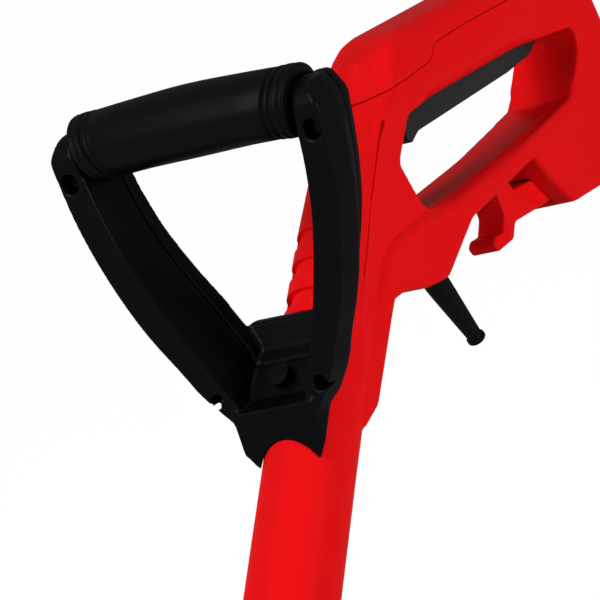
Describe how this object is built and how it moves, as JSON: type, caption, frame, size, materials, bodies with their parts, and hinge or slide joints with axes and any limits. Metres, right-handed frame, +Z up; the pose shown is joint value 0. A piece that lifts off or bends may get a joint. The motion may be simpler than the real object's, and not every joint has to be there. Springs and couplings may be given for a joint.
{
  "type": "electric string trimmer",
  "caption": "Corded electric string trimmer with a looped rear grip and trigger, a sliding D-shaped front handle, a long shaft and a motor head with a tap-feed line spool.",
  "frame": {"origin": "middle of the rear grip, between its upper and lower faces, in the plane that halves the tool", "axes": "+X forward towards the spool head, +Y to the user's left, +Z up in the working pose"},
  "size_m": [0.7788, 0.2758, 0.7324],
  "materials": {
    "red_plastic": "satin moulded ABS",
    "black_plastic": "fine-grained glass-filled nylon",
    "dark_plastic": "satin",
    "grey_plastic": "matt",
    "soft_rubber": "soft overmoulding, satin",
    "black_rubber": "matt",
    "yellow_film": "wrapped film",
    "steel": "zinc plated",
    "laminations": "stacked sheet steel",
    "aluminium": "drawn tube",
    "copper": "enamelled copper wire",
    "brass": "pressed",
    "carbon": "pressed carbon",
    "line": "nylon line"
  },
  "bodies": {
    "body": {"body_shell_left": "red_plastic", "body_shell_right": "red_plastic", "top_cover": "red_plastic", "cord_hook": "red_plastic", "motor_housing": "red_plastic", "bearing_plate": "black_plastic", "debris_guard": "black_plastic", "switch_body": "grey_plastic", "terminal_block": "grey_plastic", "cord_guard": "black_rubber", "motor_lead": "black_rubber", "capacitor": "yellow_film", "body_screw_nose": "steel", "body_screw_belly": "steel", "body_screw_rear_upper": "steel", "body_screw_rear_lower": "steel", "body_screw_shaft": "steel", "tube_bolt": "steel", "neck_bolt": "steel", "trigger_pin": "steel", "trigger_spring": "steel", "guard_screw_left": "steel", "guard_screw_right": "steel", "line_cutter": "steel", "line_cutter_screw": "steel", "upper_bearing": "steel", "lower_bearing": "steel", "stator_core": "laminations", "shaft_tube": "aluminium", "field_windings": "copper", "brush_holder_left": "brass", "brush_holder_right": "brass", "carbon_brush_left": "carbon", "carbon_brush_right": "carbon"},
    "trigger": {"trigger": "dark_plastic"},
    "plunger": {"switch_plunger": "dark_plastic"},
    "front_handle": {"front_handle_front": "black_plastic", "front_handle_rear": "black_plastic", "front_grip_sleeve": "soft_rubber", "handle_clamp_bolt": "steel", "handle_nut_plate": "steel", "front_handle_screw_upper_left": "steel", "front_handle_screw_upper_right": "steel", "front_handle_screw_lower_left": "steel", "front_handle_screw_lower_right": "steel"},
    "spool_head": {"spool_hub": "black_plastic", "hub_cover": "black_plastic", "motor_shaft": "steel", "rotor_core": "laminations", "rotor_windings": "copper", "commutator": "copper", "cooling_fan": "black_plastic", "line_eyelet_left": "steel", "line_eyelet_right": "steel", "cutting_line_left": "line", "cutting_line_right": "line"},
    "spool": {"line_spool": "grey_plastic", "wound_line": "line", "tap_knob": "black_plastic", "tap_spring": "steel"}
  },
  "joints": [
    {"name": "trigger_pull", "type": "hinge", "parent": "body", "child": "trigger", "pos_m": [-0.062, 0, -0.0165], "axis": [0, -1, 0], "range_deg": [0, 4.5], "stiffness_Nm_per_rad": 0.8, "springref_deg": -4.58, "deforming": ["trigger_spring"]},
    {"name": "plunger_slide", "type": "slide", "parent": "body", "child": "plunger", "axis": [0, 0, 1], "range_m": [0, 0.0046]},
    {"name": "front_handle_slide", "type": "slide", "parent": "body", "child": "front_handle", "axis": [-0.682, 0, 0.7314], "range_m": [0, 0.0296]},
    {"name": "head_spin", "type": "hinge", "parent": "body", "child": "spool_head", "pos_m": [0.61784, 0, -0.58894], "axis": [0, 0, 1], "continuous": true},
    {"name": "tap_feed", "type": "slide", "parent": "spool_head", "child": "spool", "axis": [0, 0, 1], "range_m": [0, 0.006], "stiffness_N_per_m": 900, "springref_m": -0.006, "deforming": ["tap_spring"]}
  ],
  "couplings": [
    {"joint": "plunger_slide", "follows": "trigger_pull", "m_per_rad": 0.057}
  ]
}
